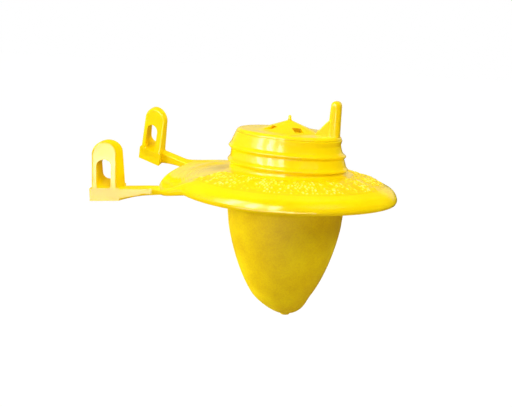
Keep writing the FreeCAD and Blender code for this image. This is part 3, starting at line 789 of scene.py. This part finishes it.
def tab_mesh():
    """Upright tab of rounded section that thins towards its rounded crown."""
    sides, stations = 36, 24
    base = CAP_TOP_Z - TAB_SUNK
    points = []
    for station in range(stations + 1):
        # stations lie closer together towards the crown
        z = base + (TAB_TOP_Z - base) * math.sin(math.pi / 2 * station / stations)
        along = (z - base) / (TAB_TOP_Z - base)
        middle = TAB_FOOT[0] + (TAB_CROWN[0] - TAB_FOOT[0]) * along
        thick = TAB_FOOT[1] + (TAB_CROWN[1] - TAB_FOOT[1]) * along
        under = min(max((z - TAB_TOP_Z + TAB_ROUND) / TAB_ROUND, 0.0), 1.0)
        # it draws in to a small flat top
        drawn_in = TAB_ROUND * TAB_EDGE * (1 - math.sqrt(1 - 0.97 * under ** 2))
        for x, y in rounded_box(thick - drawn_in, TAB_WIDTH - drawn_in, sides, TAB_SQUARENESS):
            points.append((middle + x, y, z))
    faces = grid_faces(stations + 1, sides)
    crown = len(points)
    points.append((TAB_CROWN[0], 0.0, TAB_TOP_Z + 0.02))
    for side in range(sides):
        faces.append((stations * sides + side, stations * sides + (side + 1) % sides, crown))
    faces.append(tuple(range(sides - 1, -1, -1)))
    return points, faces


def gusset_mesh():
    """Wedge between the cone's foot and the tab."""
    half = GUSSET_WIDTH / 2
    low = CAP_TOP_Z - GUSSET_SUNK
    # it ends inside the tab
    middle, face = TAB_FOOT[0], TAB_FOOT[0] - TAB_FOOT[1] / 2 + 0.3
    outline = [(GUSSET_FOOT_X - 0.5, low), (middle, low), (middle, GUSSET_TOP_Z + 1.6),
               (face, GUSSET_TOP_Z + 0.5), (GUSSET_FOOT_X, CAP_TOP_Z + 0.1)]
    count = len(outline)
    points = [(x, -half, z) for x, z in outline] + [(x, half, z) for x, z in outline]
    faces = [tuple(range(count)), tuple(range(2 * count - 1, count - 1, -1))]
    for corner in range(count):
        after = (corner + 1) % count
        faces.append((corner, count + corner, count + after, after))
    return points, faces


def nub_path():
    """Section of the nub on the cone's apex, from inside the cone up, with a spread foot."""
    top = ROOF_APEX_Z + NUB_HEIGHT
    return np.array([(AXIS_R, ROOF_APEX_Z - 0.8), (NUB_R * 1.6, ROOF_APEX_Z - 0.5),
                     (NUB_R, ROOF_APEX_Z + 0.3), (NUB_R, top - NUB_ROUND),
                     (NUB_R * 0.6, top - NUB_ROUND / 5), (AXIS_R, top)])


def build_cap():
    """Lid, nub, tab and gusset, all leaning with the collar's slanted top."""
    path = cap_path()
    columns = 180
    body = mesh_object("cap_skin", revolved(path, columns), grid_faces(len(path), columns, True),
                       CAP_PLASTIC, "cap_plastic")
    cut_vents(body)
    path = nub_path()
    columns = 24
    nub = mesh_object("cap_nub", revolved(path, columns), grid_faces(len(path), columns),
                      CAP_PLASTIC, "cap_plastic")
    tab = mesh_object("cap_tab", *tab_mesh(), CAP_PLASTIC, "cap_plastic")
    gusset = mesh_object("cap_gusset", *gusset_mesh(), CAP_PLASTIC, "cap_plastic")
    round_edges(gusset, GUSSET_EDGE)
    for piece in (body, nub, tab, gusset):
        for corner in piece.data.vertices:
            corner.co.z -= COLLAR_SLANT * (corner.co.x - DATUM[0])
        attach(piece, "cap")
        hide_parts("top_cap")


# --- cup ------------------------------------------------------------------------------------------

def nose_radius(height):
    share = (height - CUP_BARREL_Z) / (CUP_TIP_Z - CUP_BARREL_Z)
    return (CUP_R - CUP_BARREL_DRAFT) * (1 - share ** NOSE_FULLNESS) ** NOSE_POINT


def cup_path():
    """Section of the cup from the middle of the gate's face out, up, over the rim and in."""
    outside = []
    steps = 72
    for step in range(1, steps):
        height = CUP_BARREL_Z + (CUP_TIP_Z - CUP_BARREL_Z) * math.sin(math.pi / 2 * step / steps)
        outside.append((nose_radius(height), height))
    wall = [(CUP_R, CUP_RIM_Z)]
    wall += [(CUP_R - CUP_BARREL_DRAFT * share, CUP_RIM_Z + (CUP_BARREL_Z - CUP_RIM_Z) * share)
             for share in (0.04, 0.3, 0.6, 0.9)]
    wall += [spot for spot in outside if spot[0] > GATE_R + 0.6]
    gate_z = CUP_TIP_Z - GATE_HEIGHT
    gate = [(GATE_R + 0.25, CUP_TIP_Z + 0.12), (GATE_R, CUP_TIP_Z - 0.1),
            (GATE_R - 0.05, gate_z + 0.1), (GATE_R - 0.2, gate_z), (0.6, gate_z), (AXIS_R, gate_z)]
    inside = [(radius - CUP_WALL, height) for radius, height in wall if radius > CUP_WALL + 1.0]
    inside.append((AXIS_R, CUP_TIP_Z + CUP_WALL))
    rim = [(CUP_R - 0.3, CUP_RIM_Z), (CUP_R - CUP_WALL + 0.3, CUP_RIM_Z)]
    wall[0] = (CUP_R, CUP_RIM_Z - 0.3)
    return gate[::-1] + wall[::-1] + rim + inside


def build_cup():
    """Cup with its gate, whose tip stands a little off the axis."""
    path = np.array(cup_path())
    columns = 240
    points = revolved(path, columns)
    share = (points[:, 2] - CUP_BARREL_Z) / (CUP_TIP_Z - CUP_BARREL_Z)
    points[:, 0] += TIP_SHIFT * smooth_step((share - 1 + TIP_SHARE) / TIP_SHARE)
    cup = mesh_object("cup_skin", points, grid_faces(len(path), columns), CUP_PLASTIC,
                      "cup_plastic")
    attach(cup, "cup")
    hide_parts("catch_cup")


# --- studio ---------------------------------------------------------------------------------------

def area_light(name, bearing, elevation, distance, width, height, power, gloss):
    """A rectangular light that looks at the trap from a bearing and elevation.

    gloss says whether it is a card that only shows as a reflection, or a fill that never does.
    """
    middle = Vector(to_world((0, 0, 0)))
    turn, tilt = math.radians(bearing), math.radians(elevation)
    away = Vector((math.cos(turn) * math.cos(tilt), math.sin(turn) * math.cos(tilt),
                   math.sin(tilt)))
    data = bpy.data.lights.new(name, "AREA")
    data.shape = "RECTANGLE"
    data.size = width
    data.size_y = height
    data.energy = power
    light = bpy.data.objects.new(name, data)
    light.location = middle + away * distance
    light.visible_camera = False
    light.visible_diffuse = not gloss
    light.visible_glossy = gloss
    light.rotation_euler = away.to_track_quat("Z", "Y").to_euler()
    bpy.context.scene.collection.objects.link(light)


def build_floor():
    """A pale floor: white to the camera, dark as a reflection, and clear from below."""
    floor_z = to_world((0, 0, CUP_TIP_Z - FLOOR_DROP))[2]
    size = FLOOR_SIZE
    mesh = bpy.data.meshes.new("floor")
    mesh.from_pydata([(-size, -size, floor_z), (size, -size, floor_z), (size, size, floor_z),
                      (-size, size, floor_z)], [], [(0, 1, 2, 3)])
    floor = bpy.data.objects.new("floor", mesh)
    bpy.context.scene.collection.objects.link(floor)
    material = bpy.data.materials.new("floor_paper")
    nodes = Nodes(material)
    rays = nodes.add("ShaderNodeLightPath").outputs
    paper = nodes.add("ShaderNodeBsdfDiffuse", {"Color": (*FLOOR_COLOUR, 1.0)}).outputs["BSDF"]
    glow = nodes.add("ShaderNodeEmission", {"Color": (1, 1, 1, 1), "Strength": 1.1}).outputs[0]
    dark = nodes.add("ShaderNodeEmission", {"Color": (0, 0, 0, 1)}).outputs[0]
    seen = nodes.blend(nodes.math("MULTIPLY", rays["Is Camera Ray"], 0.9), paper, glow)
    above = nodes.blend(nodes.math("MULTIPLY", rays["Is Glossy Ray"], 0.9), seen, dark)
    clear = nodes.add("ShaderNodeBsdfTransparent").outputs["BSDF"]
    below = nodes.add("ShaderNodeNewGeometry").outputs["Backfacing"]
    nodes.finish(nodes.blend(below, above, clear))
    mesh.materials.append(material)


def build_room():
    """A pale room: bright round the horizon, dim and warm on the right, white to the camera."""
    world = bpy.data.worlds.new("studio")
    bpy.context.scene.world = world
    nodes = Nodes(world, "ShaderNodeOutputWorld")
    direction = nodes.add("ShaderNodeTexCoord").outputs["Generated"]
    along = nodes.add("ShaderNodeSeparateXYZ", {0: direction}).outputs
    rays = nodes.add("ShaderNodeLightPath").outputs
    height = nodes.add("ShaderNodeMapRange", {"Value": along["Z"], "To Min": HORIZON_LIGHT,
                                              "To Max": OVERHEAD_LIGHT}).outputs["Result"]
    mirrored = nodes.add("ShaderNodeMapRange", {"Value": rays["Is Glossy Ray"], "To Min": 1.0,
                                                "To Max": MIRRORED_ROOM}).outputs["Result"]
    side = nodes.add("ShaderNodeMapRange", {"Value": along["X"], "From Min": -1.0, "To Min": 1.0,
                                            "To Max": SHADED_SIDE}).outputs["Result"]
    strength = nodes.math("MULTIPLY", nodes.math("MULTIPLY", height, mirrored), side)
    room = nodes.add("ShaderNodeBackground", {"Color": nodes.mix(along["X"], LEFT_TINT, RIGHT_TINT),
                                              "Strength": strength}).outputs[0]
    white = nodes.add("ShaderNodeBackground", {"Color": (1, 1, 1, 1), "Strength": 1.0}).outputs[0]
    nodes.finish(nodes.blend(rays["Is Camera Ray"], room, white))


def build_camera():
    place = Vector(to_world(CAMERA_PLACE))
    aim = Vector(to_world(CAMERA_AIM))
    data = bpy.data.cameras.new("camera")
    data.sensor_fit = "HORIZONTAL"
    data.sensor_width = SENSOR
    data.lens = LENS
    data.clip_start = 0.01
    data.clip_end = 50.0
    camera = bpy.data.objects.new("camera", data)
    ahead = (aim - place).normalized()
    level = ahead.cross(UP).normalized()
    above = level.cross(ahead)
    roll = math.radians(CAMERA_ROLL)
    right = level * math.cos(roll) + above * math.sin(roll)
    upward = above * math.cos(roll) - level * math.sin(roll)
    turn = Matrix((right, upward, -ahead)).transposed().to_4x4()
    camera.matrix_world = Matrix.Translation(place) @ turn
    bpy.context.scene.collection.objects.link(camera)
    bpy.context.scene.camera = camera


def dress_frame():
    """Gives the CAD nodes that stay in view their finishes."""
    finishes = {"lure_cage": CAGE_PLASTIC, "pheromone_lure": LURE_RUBBER,
                "entry_ring": RING_PLASTIC, "no_return_funnel": RING_PLASTIC}
    for name, material in finishes.items():
        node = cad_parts[name]
        node.data.materials.clear()
        node.data.materials.append(material)


build_hood()
build_arm("front_arm", -1, FRONT_ARM_SET)
build_arm("rear_arm", 1, REAR_ARM_SET)
build_cap()
build_cup()
dress_frame()
build_floor()
build_room()
for light in FILLS:
    area_light(*light, gloss=False)
for light in CARDS:
    area_light(*light, gloss=True)
build_camera()
bpy.context.scene.view_settings.view_transform = "Standard"
